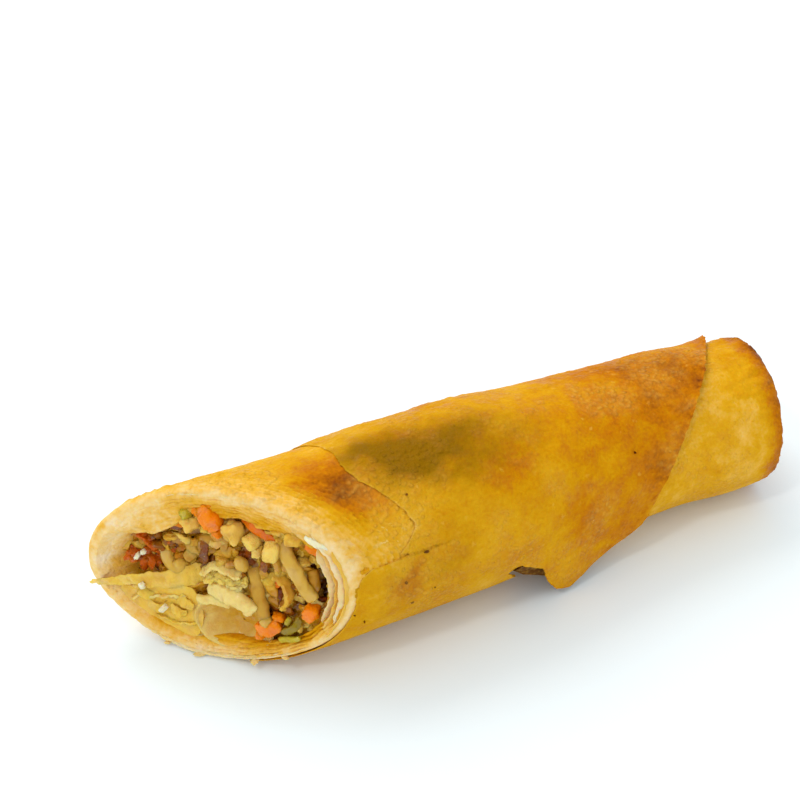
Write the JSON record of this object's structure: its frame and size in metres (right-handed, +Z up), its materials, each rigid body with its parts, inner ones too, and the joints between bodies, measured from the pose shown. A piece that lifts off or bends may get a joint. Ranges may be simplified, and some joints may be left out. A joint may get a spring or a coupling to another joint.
{
  "type": "fried spring roll piece",
  "caption": "Deep-fried spring roll cut on the bias: crisp layered pastry with a loose corner and a folded end, open at the cut over a vegetable and noodle filling",
  "frame": {"origin": "the middle of the box round the piece, on the surface it rests on", "axes": "+X runs along the roll from the cut to the folded end, +Y to the side where the cut's tip is longest, +Z up"},
  "size_m": [0.1095, 0.0288, 0.028],
  "materials": {
    "fried_pastry": "satin",
    "cooked_filling": "satin"
  },
  "bodies": {
    "root": {"pastry_wrapper": "fried_pastry", "filling": "cooked_filling"}
  },
  "joints": []
}
